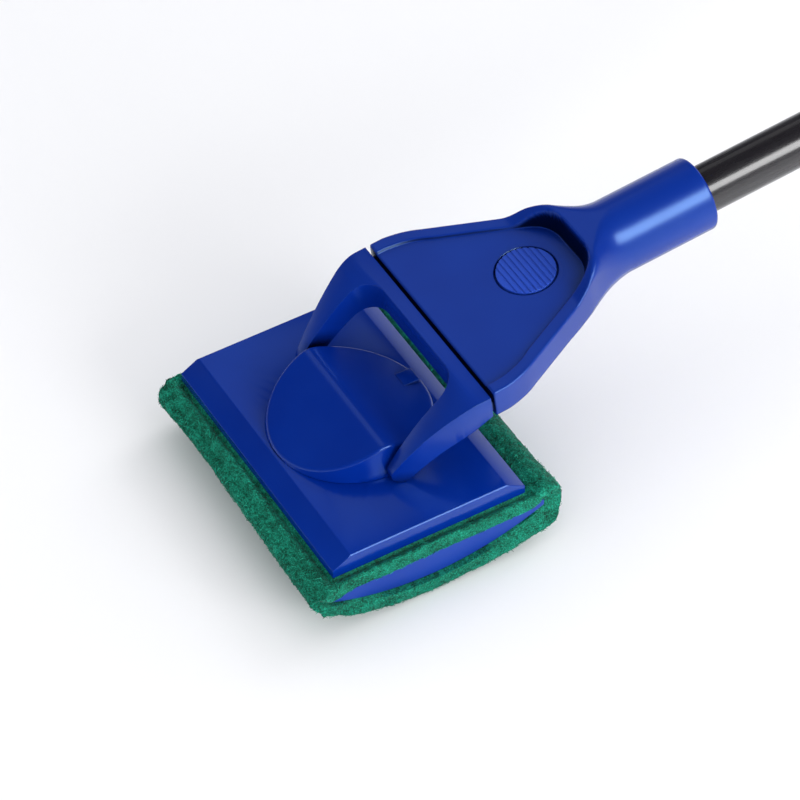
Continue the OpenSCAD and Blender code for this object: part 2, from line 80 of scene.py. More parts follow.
def from_handle(points):
    """Points given in the handle's frame, in millimetres, as row-frame points in metres."""
    p = np.asarray(points, float).reshape(-1, 3)
    return HANDLE_AT + (p[:, :1] * ALONG + p[:, 1:2] * ACROSS + p[:, 2:] * UPWARD) * MM


# ---------------------------------------------------------------- small tools

def smooth(x, low, high):
    """0 below low, 1 above high, and a soft step between."""
    t = np.clip((np.asarray(x, float) - low) / (high - low), 0, 1)
    return t * t * (3 - 2 * t)


def soft_max(a, b, k):
    """The larger of a and b, rounded over k where they meet."""
    return 0.5 * (a + b + np.sqrt((a - b) ** 2 + k * k))


def soft_min(a, b, k):
    """The smaller of a and b, rounded over k where they meet."""
    return -soft_max(-a, -b, k)


def curve(a, b, c, n=12):
    """Points on a quadratic curve from a to c that leaves and arrives towards b."""
    t = np.linspace(0, 1, n + 1)[:, None]
    a, b, c = (np.array(p, float) for p in (a, b, c))
    return (1 - t) ** 2 * a + 2 * t * (1 - t) * b + t * t * c


def make_object(name, points, faces, sharp_deg=35.0):
    """A smooth-shaded mesh object with its edges sharp where faces meet at more than sharp_deg."""
    mesh = bpy.data.meshes.new(name)
    mesh.from_pydata([tuple(p) for p in points], [], [tuple(int(i) for i in f) for f in faces])
    mesh.validate()
    obj = bpy.data.objects.new(name, mesh)
    bpy.context.scene.collection.objects.link(obj)
    finish_shading(obj, sharp_deg)
    return obj


def finish_shading(obj, sharp_deg):
    """Turns the faces outwards and shades them smooth, except across edges over sharp_deg."""
    mesh = obj.data
    work = bmesh.new()
    work.from_mesh(mesh)
    bmesh.ops.recalc_face_normals(work, faces=work.faces)
    work.to_mesh(mesh)
    work.free()
    mesh.polygons.foreach_set("use_smooth", np.ones(len(mesh.polygons), bool))
    mesh.set_sharp_from_angle(angle=math.radians(sharp_deg))


def loft_faces(rows, around, capped=True):
    """Quads over a grid of rows closed sections of around points each, with both ends closed."""
    i, k = np.meshgrid(np.arange(rows - 1), np.arange(around), indexing="ij")
    n = (k + 1) % around
    quads = np.stack([i * around + k, i * around + n, (i + 1) * around + n, (i + 1) * around + k], -1)
    faces = [tuple(f) for f in quads.reshape(-1, 4)]
    if capped:
        faces.append(tuple(range(around - 1, -1, -1)))
        faces.append(tuple((rows - 1) * around + j for j in range(around)))
    return faces


def prism(name, outline, low, high):
    """A closed solid over an outline in the handle's x and y, from z = low to z = high."""
    points = [(x, y, z) for z in (low, high) for x, y in outline]
    return make_object(name, from_handle(points), loft_faces(2, len(outline)))


def round_cutter(name, centre, axis, profile, sides=96):
    """A solid of revolution. profile is (distance along axis, radius) pairs, in the handle's frame."""
    axis = np.array(axis, float)
    side = np.cross(axis, [0.0, 1.0, 0.0] if abs(axis[1]) < 0.5 else [1.0, 0.0, 0.0])
    other = np.cross(axis, side)
    turn = np.linspace(0, 2 * np.pi, sides, endpoint=False)
    points = [np.array(centre) + axis * d + r * (math.cos(a) * side + math.sin(a) * other)
              for d, r in profile for a in turn]
    return make_object(name, from_handle(points), loft_faces(len(profile), sides))


def cut(target, cutter, operation="DIFFERENCE"):
    """Cuts target with cutter for good, and removes the cutter."""
    tool = target.modifiers.new("cut", "BOOLEAN")
    tool.operation = operation
    tool.solver = "EXACT"
    tool.object = cutter
    apply_modifiers(target)
    bpy.data.objects.remove(cutter)


def apply_modifiers(obj):
    """Makes the modified shape the object's own mesh."""
    seen = bpy.context.evaluated_depsgraph_get()
    mesh = bpy.data.meshes.new_from_object(obj.evaluated_get(seen), preserve_all_data_layers=True,
                                           depsgraph=seen)
    obj.modifiers.clear()
    obj.data = mesh


def soften_cad(name, width):
    """Rounds the sharp edges of a CAD node. Its own mesh stays as it is, under the modifiers."""
    still_flat, sharp = math.radians(0.5), math.radians(28)
    obj = nodes[name]
    weld = obj.modifiers.new("weld", "WELD")
    weld.merge_threshold = 1e-6
    flat = obj.modifiers.new("flat", "DECIMATE")
    flat.decimate_type = "DISSOLVE"
    flat.angle_limit = still_flat
    bevel = obj.modifiers.new("bevel", "BEVEL")
    bevel.width = width * MM
    bevel.segments = 3
    bevel.limit_method = "ANGLE"
    bevel.angle_limit = sharp
    bevel.miter_outer = "MITER_ARC"
    bevel.harden_normals = True
    obj.data.polygons.foreach_set("use_smooth", np.ones(len(obj.data.polygons), bool))


# ---------------------------------------------------------------- materials

class Paint:
    """A short way to write a node material: it holds the tree and its Principled node."""

    def __init__(self, name, roughness, metallic=0.0, **inputs):
        self.material = bpy.data.materials.new(name)
        self.material.use_nodes = True
        self.tree = self.material.node_tree
        self.surface = self.tree.nodes["Principled BSDF"]
        self.surface.inputs["Roughness"].default_value = roughness
        self.surface.inputs["Metallic"].default_value = metallic
        for key, value in inputs.items():
            self.surface.inputs[key.replace("_", " ")].default_value = value
        self.place = self.add("TexCoord").outputs["Object"]

    def add(self, kind, **values):
        """A new shader node. Each value goes to the input of that name, or else to the property."""
        made = self.tree.nodes.new("ShaderNode" + kind)
        for key, value in values.items():
            if key in made.inputs:
                made.inputs[key].default_value = value
            else:
                setattr(made, key, value)
        return made

    def link(self, a, b):
        self.tree.links.new(a, b)

    def noise(self, size_mm, detail=3.0, stretch=None, roughness=0.5):
        """Noise with features of about size_mm, drawn out along the axes by stretch."""
        made = self.add("TexNoise", Scale=1.0, Detail=detail, Roughness=roughness)
        lay = self.add("Mapping")
        s = 1 / (size_mm * MM)
        lay.inputs["Scale"].default_value = [s / f for f in (stretch or (1, 1, 1))]
        self.link(self.place, lay.inputs["Vector"])
        self.link(lay.outputs["Vector"], made.inputs["Vector"])
        return made.outputs["Fac"]

    def ramp(self, source, stops):
        """Colours by the source, from (place, colour) stops."""
        made = self.add("ValToRGB")
        band = made.color_ramp
        while len(band.elements) < len(stops):
            band.elements.new(0.5)
        for element, (at, colour) in zip(band.elements, stops):
            element.position = at
            element.color = (*colour, 1)
        self.link(source, made.inputs["Fac"])
        return made.outputs["Color"]

    def remap(self, source, low, high, start=0.0, end=1.0):
        """Takes the source's stretch from start to end to the stretch from low to high."""
        made = self.add("MapRange")
        made.inputs["From Min"].default_value = start
        made.inputs["From Max"].default_value = end
        made.inputs["To Min"].default_value = low
        made.inputs["To Max"].default_value = high
        self.link(source, made.inputs["Value"])
        return made.outputs["Result"]

    def blend(self, factor, low, high):
        """Goes from the colour low at factor 0 to the colour source high at 1."""
        made = self.add("MixRGB", Color1=(*low, 1), use_clamp=True)
        self.link(factor, made.inputs["Fac"])
        self.link(high, made.inputs["Color2"])
        return made.outputs["Color"]

    def bump(self, source, height_mm, strength, normal=None):
        """Tilts the shading by the slope of the source, on top of another normal where one is given."""
        made = self.add("Bump", Strength=strength, Distance=height_mm * MM)
        self.link(source, made.inputs["Height"])
        if normal is not None:
            self.link(normal, made.inputs["Normal"])
        return made.outputs["Normal"]

    def set(self, socket, source):
        """Feeds an input of the Principled node."""
        self.link(source, self.surface.inputs[socket])


def blue_plastic(name="blue_plastic", roughness=(0.16, 0.21), pale=0.0, crease_shade_mm=5.0, alone=True):
    """Glossy moulded plastic: slight flow marks in the colour, faint orange peel, painted shade in creases.
    Where alone is false, the pieces that stand next to it also cast painted shade on it. pale lightens it, as
    painted light."""
    crease_shade_colour = (0.0, 0.001, 0.012)
    # Painted light: pale lifts the colour, most of all in blue.
    deep, light = ((r + 0.3 * pale, g + 0.8 * pale, b + 5 * pale) for r, g, b in
                   ((0.0002, 0.0180, 0.224), (0.0006, 0.0225, 0.252)))
    p = Paint(name, roughness[0], IOR=1.5, Specular_Tint=(0.40, 0.68, 1.0, 1))
    colour = p.ramp(p.noise(26, 2), [(0.3, deep), (0.7, light)])
    # Painted shade: ambient occlusion darkens the colour towards near black in creases and recesses, and also near
    # other pieces where alone is false.
    crease_shade = p.add("AmbientOcclusion", samples=4, only_local=alone, Distance=crease_shade_mm * MM)
    colour_with_crease_shade = p.blend(p.remap(crease_shade.outputs["AO"], -0.5, 1.0), crease_shade_colour, colour)
    # Painted shade: where the "hollow" value marks the connector's recess walls, the colour goes almost black and
    # the gloss fades.
    hollow = p.remap(p.add("Attribute", attribute_name="hollow").outputs["Fac"], 1.0, 0.05)
    p.set("Base Color", p.blend(hollow, (0.0, 0.001, 0.008), colour_with_crease_shade))
    p.set("Specular IOR Level", p.remap(hollow, 0.0, 0.68))
    p.set("Roughness", p.remap(p.noise(9, 3), *roughness))
    edge = p.add("Bevel", samples=4)
    edge.inputs["Radius"].default_value = 0.35 * MM
    p.set("Normal", p.bump(p.noise(5, 2), 0.02, 0.3, edge.outputs["Normal"]))
    return p.material


def blue_variants():
    """The same plastic for pieces that stay side by side, with painted shade cast by each other, and duller for
    the core and the button's top, with painted light that lightens them.
    """
    return {"yoke": blue_plastic("blue_plastic_joined", (0.23, 0.29), alone=False),
            "pad_core": blue_plastic("blue_plastic_matt_painted_light", (0.50, 0.60), 0.006),
            "release_button": blue_plastic("blue_plastic_satin_painted_light", (0.38, 0.46), 0.035, 0.05)}


def pad_green():
    """Nonwoven scouring fibre: each strand carries its own tone, and painted shade darkens the pores between and
    where the skin sinks.
    """
    p = Paint("pad_green", 0.75, Sheen_Weight=0.05, Sheen_Roughness=0.4, Specular_IOR_Level=0.12)
    shade = p.add("Attribute", attribute_name="shade")
    # Painted shade and tone: this fine noise darkens the pores between the fibres and varies their tone.
    grain = p.noise(0.5, 4, roughness=0.7)
    mixed = p.add("Math", operation="MULTIPLY_ADD")
    p.link(p.remap(grain, 0.0, 1.0, 0.34, 0.66), mixed.inputs[0])
    mixed.inputs[1].default_value = 0.62
    p.link(shade.outputs["Fac"], mixed.inputs[2])
    p.set("Base Color", p.ramp(mixed.outputs[0], [
        (0.03, (0.000, 0.024, 0.014)), (0.34, (0.001, 0.128, 0.076)),
        (0.62, (0.006, 0.260, 0.165)), (0.95, (0.032, 0.450, 0.300))]))
    p.set("Normal", p.bump(p.noise(0.6, 4, roughness=0.7), 0.3, 0.8))
    return p.material


def pole_black():
    """Glossy coat on a drawn tube, with faint lines along it."""
    p = Paint("pole_black", 0.24, Coat_Weight=0.5, Coat_Roughness=0.1)
    p.set("Base Color", p.ramp(p.noise(9, 3, (12, 1, 1)), [(0.3, (0.010, 0.009, 0.011)),
                                                         (0.7, (0.017, 0.015, 0.018))]))
    p.set("Roughness", p.remap(p.noise(1.2, 4, (30, 1, 1)), 0.20, 0.34))
    p.set("Normal", p.bump(p.noise(0.9, 2, (40, 1, 1)), 0.006, 0.4))
    return p.material


def fitting_black():
    """Satin black plastic with a fine grain."""
    p = Paint("fitting_black", 0.45)
    p.set("Base Color", p.ramp(p.noise(8, 3), [(0.3, (0.013, 0.013, 0.014)), (0.7, (0.022, 0.022, 0.024))]))
    p.set("Roughness", p.remap(p.noise(1.5, 4), 0.38, 0.55))
    p.set("Normal", p.bump(p.noise(0.5, 3), 0.02, 0.5))
    return p.material


def screw_steel():
    """Plated steel with fine turning marks."""
    p = Paint("screw_steel", 0.3, metallic=1.0)
    p.set("Base Color", p.ramp(p.noise(2, 3), [(0.3, (0.50, 0.51, 0.53)), (0.7, (0.66, 0.67, 0.69))]))
    p.set("Roughness", p.remap(p.noise(0.8, 4, (1, 6, 1)), 0.22, 0.42))
    p.set("Normal", p.bump(p.noise(0.3, 2), 0.006, 0.5))
    return p.material


def seal_rubber():
    """Matt black rubber."""
    p = Paint("seal_rubber", 0.7)
    p.set("Base Color", p.ramp(p.noise(3, 3), [(0.3, (0.020, 0.020, 0.021)), (0.7, (0.034, 0.034, 0.036))]))
    p.set("Normal", p.bump(p.noise(0.25, 3), 0.02, 0.6))
    return p.material


def dress(obj, slot):
    """Gives an object the material of one of the record's slots."""
    obj.data.materials.clear()
    obj.data.materials.append(materials[slot])


materials = {make.__name__: make() for make in
             (blue_plastic, pad_green, pole_black, fitting_black, screw_steel, seal_rubber)}
variants = blue_variants()


def dress_frame():
    """Gives each CAD node its material by the record's slots, and rounds its sharp edges."""
    slots = {s["node"]: s["material_slot"] for s in frame["record"]["subparts"]}
    for name, obj in nodes.items():
        dress(obj, slots[name])
    for name, width in {"clamp_plate": 0.25, "pad_core": 0.4, "yoke": 0.5,
                        "connector_cover": 0.4, "release_button": 0.18, "end_cap": 0.5,
                        "joiner_insert": 0.2, "pole_tube": 0.2}.items():
        soften_cad(name, width)
    for name, material in variants.items():
        nodes[name].data.materials[0] = material


# ---------------------------------------------------------------- connector

HALF_W = 35.5            # half width of the connector's front
BORDER_H = 0.9           # its edge stands this far over the recess floor
SIDE_LOW = -9.4          # lower edge of its side walls
SOCKET_R, SOCKET_END = 11.6, 92.0
AXIS_Z = -4.3            # height of the pole's axis
FRONT = 0.6              # start of the connector, behind the joint line
WALL = 2.2
RECESS_END = 48.0
BUTTON_X, BUTTON_HOLE = 33.0, 9.4        # the button's place and the radius of its hole
BOSSES = ((8, 25.5), (37, 14.6))         # x and y of the two screw bosses on one side
BOSS_R, BOSS_LOW = 3.0, 8.4              # radius, and depth to the cover
FLANGE_R = 11.1                          # room for the button's flange
SLOT_HALF_W, SLOT_LOW, SLOT_TOP = 20.15, -5.65, -2.75    # the yoke's tongue goes in here
BORE_R, BORE_START = 7.48, 50.0          # the pole stands in here
POLE_SCREW_X, POLE_SCREW_R = 68.0, 1.33
SCREW_HEAD_R, SCREW_HEAD_AT = 2.65, 9.8  # radius, and depth from the axis, of the recess for its head

# Half outlines seen from above, as x and y: the outside, and the edge of the recess.
OUTLINE = np.vstack([[(FRONT, HALF_W)], curve((5, HALF_W), (11.5, 34.6), (16, 32)),
                     curve((44, 18.4), (54, 12.4), (62, SOCKET_R)), [(SOCKET_END, SOCKET_R)]])
RECESS = np.vstack([[(-40, 31)], curve((3, 31), (11, 30.5), (17, 26.5)),
                    curve((42, 14.4), (47.5, 11.7), (RECESS_END, 5.5))])


def distance_to_recess(x, y):
    """Distance from points to the recess outline, negative inside it."""
    loop = np.vstack([RECESS, RECESS[::-1] * [1, -1]])
    p = np.stack([x, y], -1)
    a, b = loop, np.roll(loop, -1, 0)
    best = np.full(x.shape, 1e9)
    inside = np.zeros(x.shape, bool)
    for s, e in zip(a, b):
        d = e - s
        t = np.clip(((p - s) @ d) / (d @ d), 0, 1)
        best = np.minimum(best, np.linalg.norm(p - s - t[..., None] * d, axis=-1))
        crosses = (s[1] > y) != (e[1] > y)
        if abs(d[1]) > 1e-12:
            inside ^= crosses & (x < s[0] + (y - s[1]) / d[1] * d[0])
    return np.where(inside, -best, best)


def rounded_section(half_w, top, bottom, r_top, r_low, recess_w):
    """One section of the connector: y and z round a rectangle with its own corner radii. Along the
    top the points crowd where the recess's wall stands, recess_w from the middle."""
    side, under = 5, 44         # points up a side and along the bottom
    bend = np.linspace(0, np.pi / 2, 14)
    yt, yb = half_w - r_top, half_w - r_low
    wall = min(recess_w, max(yt - 2, 0.5 * yt))
    spread = min(1, (yt - wall) / 2)
    crowd = np.array([-0.9, -0.7, -0.5, -0.35, -0.2, -0.1, 0, 0.1, 0.2, 0.32, 0.45, 0.6, 0.8, 1.05, 1.4])
    half = np.concatenate([np.linspace(0, 1, 34)[1:] * (wall - 1.1 * spread), wall + spread * crowd,
                           wall + 1.4 * spread + np.linspace(0, 1, 7)[1:] * (yt - wall - 1.4 * spread)])
    across = 2 * len(half) + 1
    parts = [(np.concatenate([-half[::-1], [0], half]), np.full(across, top)),
             (yt + r_top * np.sin(bend), top - r_top + r_top * np.cos(bend)),
             (np.full(side, half_w), np.linspace(top - r_top, bottom + r_low, side)),
             (yb + r_low * np.cos(bend), bottom + r_low - r_low * np.sin(bend)),
             (np.linspace(yb, -yb, under), np.full(under, bottom)),
             (-yb - r_low * np.sin(bend), bottom + r_low - r_low * np.cos(bend)),
             (np.full(side, -half_w), np.linspace(bottom + r_low, top - r_top, side)),
             (-yt - r_top * np.cos(bend), top - r_top + r_top * np.sin(bend))]
    y = np.concatenate([p[0] for p in parts])
    z = np.concatenate([p[1] for p in parts])
    return y, z


def connector_body():
    """The outside of the connector: a wide flat front that narrows and rounds into the socket, with
    the recess carved in its top. The carved walls carry a "hollow" value: painted shade that darkens them."""
    start_r, end_r = 0.6, 0.9       # rounding of the front and of the socket's mouth
    top_r, low_r = 0.7, 1.4         # rounding along the flat part's upper and lower edges
    neck_end = 61                   # from here on the section is round
    last_rise = 0.5
    rise = AXIS_Z + SOCKET_R - BORDER_H - last_rise
    x = np.concatenate([FRONT + np.array([0, 0.06, 0.2, 0.4, 0.7]), np.arange(2, 37, 1.0),
                        np.arange(37, 55, 0.3), np.arange(55, 90.6, 1.0),
                        SOCKET_END - np.array([1.0, 0.6, 0.3, 0.1, 0.0])])
    half_w = np.interp(x, OUTLINE[:, 0], OUTLINE[:, 1])
    top = BORDER_H + rise * smooth(x, 37, 50.5) + last_rise * smooth(x, 49, neck_end + 1)
    bottom = SIDE_LOW + (AXIS_Z - SOCKET_R - SIDE_LOW) * smooth(x, 32, neck_end)
    r_top = top_r + (SOCKET_R - top_r) * smooth(x, 42, neck_end)
    r_low = low_r + (SOCKET_R - low_r) * smooth(x, 34, neck_end)
    start = start_r * (1 - np.sqrt(1 - (1 - np.clip((x - FRONT) / start_r, 0, 1)) ** 2))
    end = end_r * (1 - np.sqrt(1 - np.clip((x - SOCKET_END + end_r) / end_r, 0, 1) ** 2))
    recess_w = np.interp(x, RECESS[:, 0], RECESS[:, 1])
    rows = []
    for i, xi in enumerate(x):
        d = start[i] + end[i]
        y, z = rounded_section(half_w[i] - d, top[i] - d, bottom[i] + d, min(r_top[i], half_w[i] - d),
                               min(r_low[i], half_w[i] - d), recess_w[i])
        rows.append(np.stack([np.full(len(y), xi), y, z], -1))
    grid = np.array(rows)
    gx, gy, gz = grid[..., 0], grid[..., 1], grid[..., 2]
    d = distance_to_recess(gx, gy)
    slope = 1.5 + 2.0 * smooth(gx, 37, 46)      # the recess's wall gets steeper towards the socket
    carved = soft_max(np.zeros_like(d), slope * d, 0.16) - start[:, None]
    upper = (gz > AXIS_Z) & (gx < RECESS_END + 12)
    # Painted shade: the recess walls get a "hollow" value that darkens them, most of all behind the button.
    back = smooth(gx, 33, 41)                   # the part behind the button, where the walls are dark
    hollow = upper * smooth(carved, 0.08, 0.35) * smooth(gz - carved, 0.05, 0.35 + 1.2 * back)
    hollow = hollow * (0.7 + 0.3 * back)
    grid[..., 2] = np.where(upper, soft_min(gz, carved, 0.2), gz)
    shell = make_object("connector_shell_form", from_handle(grid.reshape(-1, 3)),
                        loft_faces(len(x), grid.shape[1]))
    layer = shell.data.attributes.new("hollow", "FLOAT", "POINT")
    layer.data.foreach_set("value", hollow.ravel().astype(np.float32))
    return shell


def mirrored(half):
    """A closed outline from the half of it with y above 0."""
    half = np.asarray(half, float)
    return np.vstack([half, half[::-1] * [1, -1]])


def build_connector():
    """The connector's upper shell: hollow below, with bosses, button hole, slot, bore and screw hole."""
    shell = connector_body()
    cavity_end = 42.8
    inner = np.array([p for p in OUTLINE if 3 < p[0] < cavity_end])
    edge = np.interp(cavity_end, OUTLINE[:, 0], OUTLINE[:, 1])
    half = np.vstack([[(FRONT + WALL, HALF_W - WALL)], inner - [0, 1.1 * WALL],
                      [(cavity_end, edge - 1.1 * WALL)]])
    cavity = prism("cavity", mirrored(half), -30, -WALL)
    for x, y in BOSSES:
        for side in (-y, y):
            cut(cavity, round_cutter("boss", (x, side, 0), (0, 0, -1), [(0, BOSS_R), (BOSS_LOW, BOSS_R)]))
    cut(shell, cavity)
    cut(shell, round_cutter("flange_room", (BUTTON_X, 0, 0), (0, 0, -1),
                            [(2.0, FLANGE_R), (BOSS_LOW, FLANGE_R)]))
    cut(shell, round_cutter("button_hole", (BUTTON_X, 0, 0), (0, 0, 1),
                            [(-4, BUTTON_HOLE), (-0.3, BUTTON_HOLE), (0.0, BUTTON_HOLE + 0.25),
                             (2, BUTTON_HOLE + 2.2)]))
    slot = [(FRONT - 2, SLOT_HALF_W), (FRONT + WALL + 1, SLOT_HALF_W)]
    cut(shell, prism("slot", mirrored(slot), SLOT_LOW, SLOT_TOP))
    mouth = SOCKET_END - BORE_START
    cut(shell, round_cutter("bore", (BORE_START, 0, AXIS_Z), (1, 0, 0),
                            [(0, BORE_R), (mouth - 0.5, BORE_R), (mouth, BORE_R + 0.32),
                             (mouth + 2, BORE_R + 2.32)]))
    cut(shell, round_cutter("screw_hole", (POLE_SCREW_X, 0, AXIS_Z), (0, 0, -1),
                            [(0, POLE_SCREW_R), (SCREW_HEAD_AT, POLE_SCREW_R),
                             (SCREW_HEAD_AT + 0.0001, SCREW_HEAD_R), (14, SCREW_HEAD_R)], 48))
    shell.name = "connector_shell_moulding"
    finish_shading(shell, 32)
    dress(shell, "blue_plastic")
    shell.data.materials[0] = variants["yoke"]
    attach(shell, "handle")
    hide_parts("connector_shell")


# ---------------------------------------------------------------- spring

SPRING_R, WIRE_R, SPRING_TURNS = 2.6, 0.25, 8
CLOSED_PITCH = 0.52      # rise of the first and last turn, whose wires nearly touch


def build_spring():
    """Coil spring under the button with its end turns closed."""
    cad = np.array([v.co for v in nodes["button_spring"].data.vertices])
    heights = (cad - HANDLE_AT) @ UPWARD / MM
    low, high = heights.min(), heights.max()
    lift = high - low - 2 * WIRE_R
    turn = np.linspace(0, SPRING_TURNS, SPRING_TURNS * 32 + 1)
    rise = np.interp(turn, [0, 1, SPRING_TURNS - 1, SPRING_TURNS],
                     [0, CLOSED_PITCH, lift - CLOSED_PITCH, lift])
    angle = 2 * math.pi * turn[:, None]
    around = np.arange(10) * 2 * math.pi / 10
    out = SPRING_R + WIRE_R * np.cos(around)
    points = np.stack([BUTTON_X + out * np.cos(angle), out * np.sin(angle),
                       low + WIRE_R + rise[:, None] + WIRE_R * np.sin(around)], -1)
    spring = make_object("button_spring_coil", from_handle(points.reshape(-1, 3)),
                         loft_faces(len(turn), len(around)), 50)
    dress(spring, "screw_steel")
    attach(spring, "handle")
    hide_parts("button_spring")
    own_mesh(spring)


# ---------------------------------------------------------------- turret

TURRET_R, TURRET_DRAFT = 25.0, 2.0       # radius at the foot, and how much smaller it gets at the ridge
RIDGE_H, RIM_H, FRONT_H = 11.4, 3.5, 1.0    # heights over the plate: ridge, handle side and far side
SPIGOT_R, SPIGOT_LOW = 9.0, 3.9          # the boss that goes down into the plate
BLOCK = ((18, 0, 1), (23.5, 5.5, 5))     # small block on the handle side: low and high corners


def turret_height(x):
    """Height of the turret's top over the plate: a straight slope, a soft ridge and a hollow."""
    front = FRONT_H + (x + TURRET_R) * (RIDGE_H - FRONT_H - 0.6) / (TURRET_R - 2.6)
    hollow = curve((TURRET_R, RIM_H), (11.5, 5.9), (1.1, RIDGE_H - 0.9), 60)[::-1]
    rise = (hollow[1, 1] - hollow[0, 1]) / (hollow[1, 0] - hollow[0, 0])
    back = np.interp(x, hollow[:, 0], hollow[:, 1]) + np.minimum(x - hollow[0, 0], 0) * rise
    return soft_min(front, back, 1.7)


def build_turret():
    """The turret as rings: over its top, round its rim, down its drafted side and round its spigot."""
    top = PLATE_HIGH[2]
    around = 360
    turn = np.linspace(0, 2 * np.pi, around, endpoint=False)
    ux, uy = np.cos(turn), np.sin(turn)
    edge = np.full(around, TURRET_R)
    for _ in range(8):
        edge = TURRET_R - TURRET_DRAFT * turret_height(edge * ux) / (RIDGE_H + 1)
    fillet, middle = 0.95, 4
    inner = edge - fillet
    rings = [(np.full(around, r), 0) for r in np.arange(0.25, middle, 0.25)]
    rings += [(middle + f * (inner - middle), 0) for f in np.linspace(0, 1, 36)]
    rings += [(inner + fillet * math.sin(a), fillet * (1 - math.cos(a)))
              for a in np.linspace(0, np.pi / 2, 8)[1:]]
    rows = [np.stack([r * ux, r * uy, top + turret_height(r * ux) - drop], -1) for r, drop in rings]
    low = rows[-1]
    foot = top + 0.1
    for f in (0.25, 0.5, 0.75, 0.97):
        r = edge + f * (TURRET_R - edge)
        rows.append(np.stack([r * ux, r * uy, low[:, 2] + f * (foot - low[:, 2])], -1))
    for r, z in ((TURRET_R - 0.15, foot), (SPIGOT_R, foot), (SPIGOT_R, top - SPIGOT_LOW),
                 (SPIGOT_R - 0.3, top - SPIGOT_LOW - 0.05)):
        rows.append(np.stack([r * ux, r * uy, np.full(around, z)], -1))
    turret = make_object("swivel_turret_moulding", np.array(rows).reshape(-1, 3) * MM,
                         loft_faces(len(rows), around), 40)
    (x0, y0, z0), (x1, y1, z1) = BLOCK
    corners = [(x, y, top + z) for z in (z0, z1) for x, y in ((x0, y0), (x1, y0), (x1, y1), (x0, y1))]
    block = make_object("block", np.array(corners) * MM, loft_faces(2, 4))
    bevel = block.modifiers.new("bevel", "BEVEL")
    bevel.width = 0.35 * MM
    bevel.segments = 3
    apply_modifiers(block)
    finish_shading(block, 60)
    cut(turret, block, "UNION")
    finish_shading(turret, 40)
    dress(turret, "blue_plastic")
    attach(turret, "turret")
    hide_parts("swivel_turret")


# ---------------------------------------------------------------- scouring pad

def pad_section(count):
    """Points round the pad's outside seen along the tilt axis, with their outward directions, evenly
    spaced. The bottom is one wide arc, and each long edge is a round end."""
    t = PAD_THICK
    half_w = CORE_HIGH[0]
    edge = 1.8              # thickness of the core along its long edges
    sag = CORE_HIGH[2] - CORE_LOW[2] - edge
    r = (half_w ** 2 + sag ** 2) / (2 * sag)
    bow = math.asin(half_w / r)
    a = np.linspace(-bow, bow, 200)
    low = np.stack([(r + t) * np.sin(a), CORE_LOW[2] + r - (r + t) * np.cos(a)], -1)
    mid = CORE_HIGH[2] - edge / 2
    b = np.linspace(-np.pi / 2 + bow, np.pi / 2, 60)[1:-1]
    right = np.stack([half_w + t * np.cos(b), mid + (t - 0.4) * np.sin(b)], -1)
    top_z = mid + t - 0.4
    top = np.stack([np.linspace(half_w, -half_w, 200), np.full(200, top_z)], -1)
    left = right[::-1] * [-1, 1]
    loop = np.vstack([low, right, top, left])
    step = np.linalg.norm(np.roll(loop, -1, 0) - loop, axis=1)
    far = np.concatenate([[0], np.cumsum(step)])
    closed = np.vstack([loop, loop[:1]])
    at = np.linspace(0, far[-1], count, endpoint=False)
    pts = np.stack([np.interp(at, far, closed[:, 0]), np.interp(at, far, closed[:, 1])], -1)
    along = np.roll(pts, -1, 0) - np.roll(pts, 1, 0)
    out = np.stack([along[:, 1], -along[:, 0]], -1)
    return pts, out / np.linalg.norm(out, axis=1)[:, None]


def value_noise(points, size, seed):
    """Smooth seeded noise between -1 and 1 at points in millimetres, with features of about size."""
    q = np.asarray(points, float) / size
    cell = np.floor(q).astype(np.int64)
    f = q - cell
    f = f * f * (3 - 2 * f)
    mask = 0xFFFFFFFF       # keeps the cell's scrambled number within 32 bits
    total = np.zeros(len(q))
    for corner in range(8):
        step = np.array([corner & 1, corner >> 1 & 1, corner >> 2 & 1])
        c = cell + step
        h = (c[:, 0] * 374761393 + c[:, 1] * 668265263 + c[:, 2] * 2147483647
             + seed * 974634777) & mask
        h = ((h ^ (h >> 13)) * 1274126177) & mask
        value = ((h ^ (h >> 16)) & 0xFFFF) / 32767.5 - 1
        weight = np.prod(np.where(step, f, 1 - f), axis=1)
        total += weight * value
    return total


def corner_pull(grid, half_l):
    """How far each point moves towards y = 0, so that the sleeve's corners are round from above."""
    x, y = grid[..., 0], grid[..., 1]
    radius = np.where(x > 0, 5.0, 3.4)
    reach = np.where(x > 0, x.max(1, keepdims=True), -x.min(1, keepdims=True))
    edge = np.clip((abs(x) - reach + radius) / radius, 0, 1)
    pull = radius * (1 - np.sqrt(1 - edge ** 2)) * smooth(abs(y), half_l - 14, half_l)
    return (np.sign(y) * pull).reshape(-1)


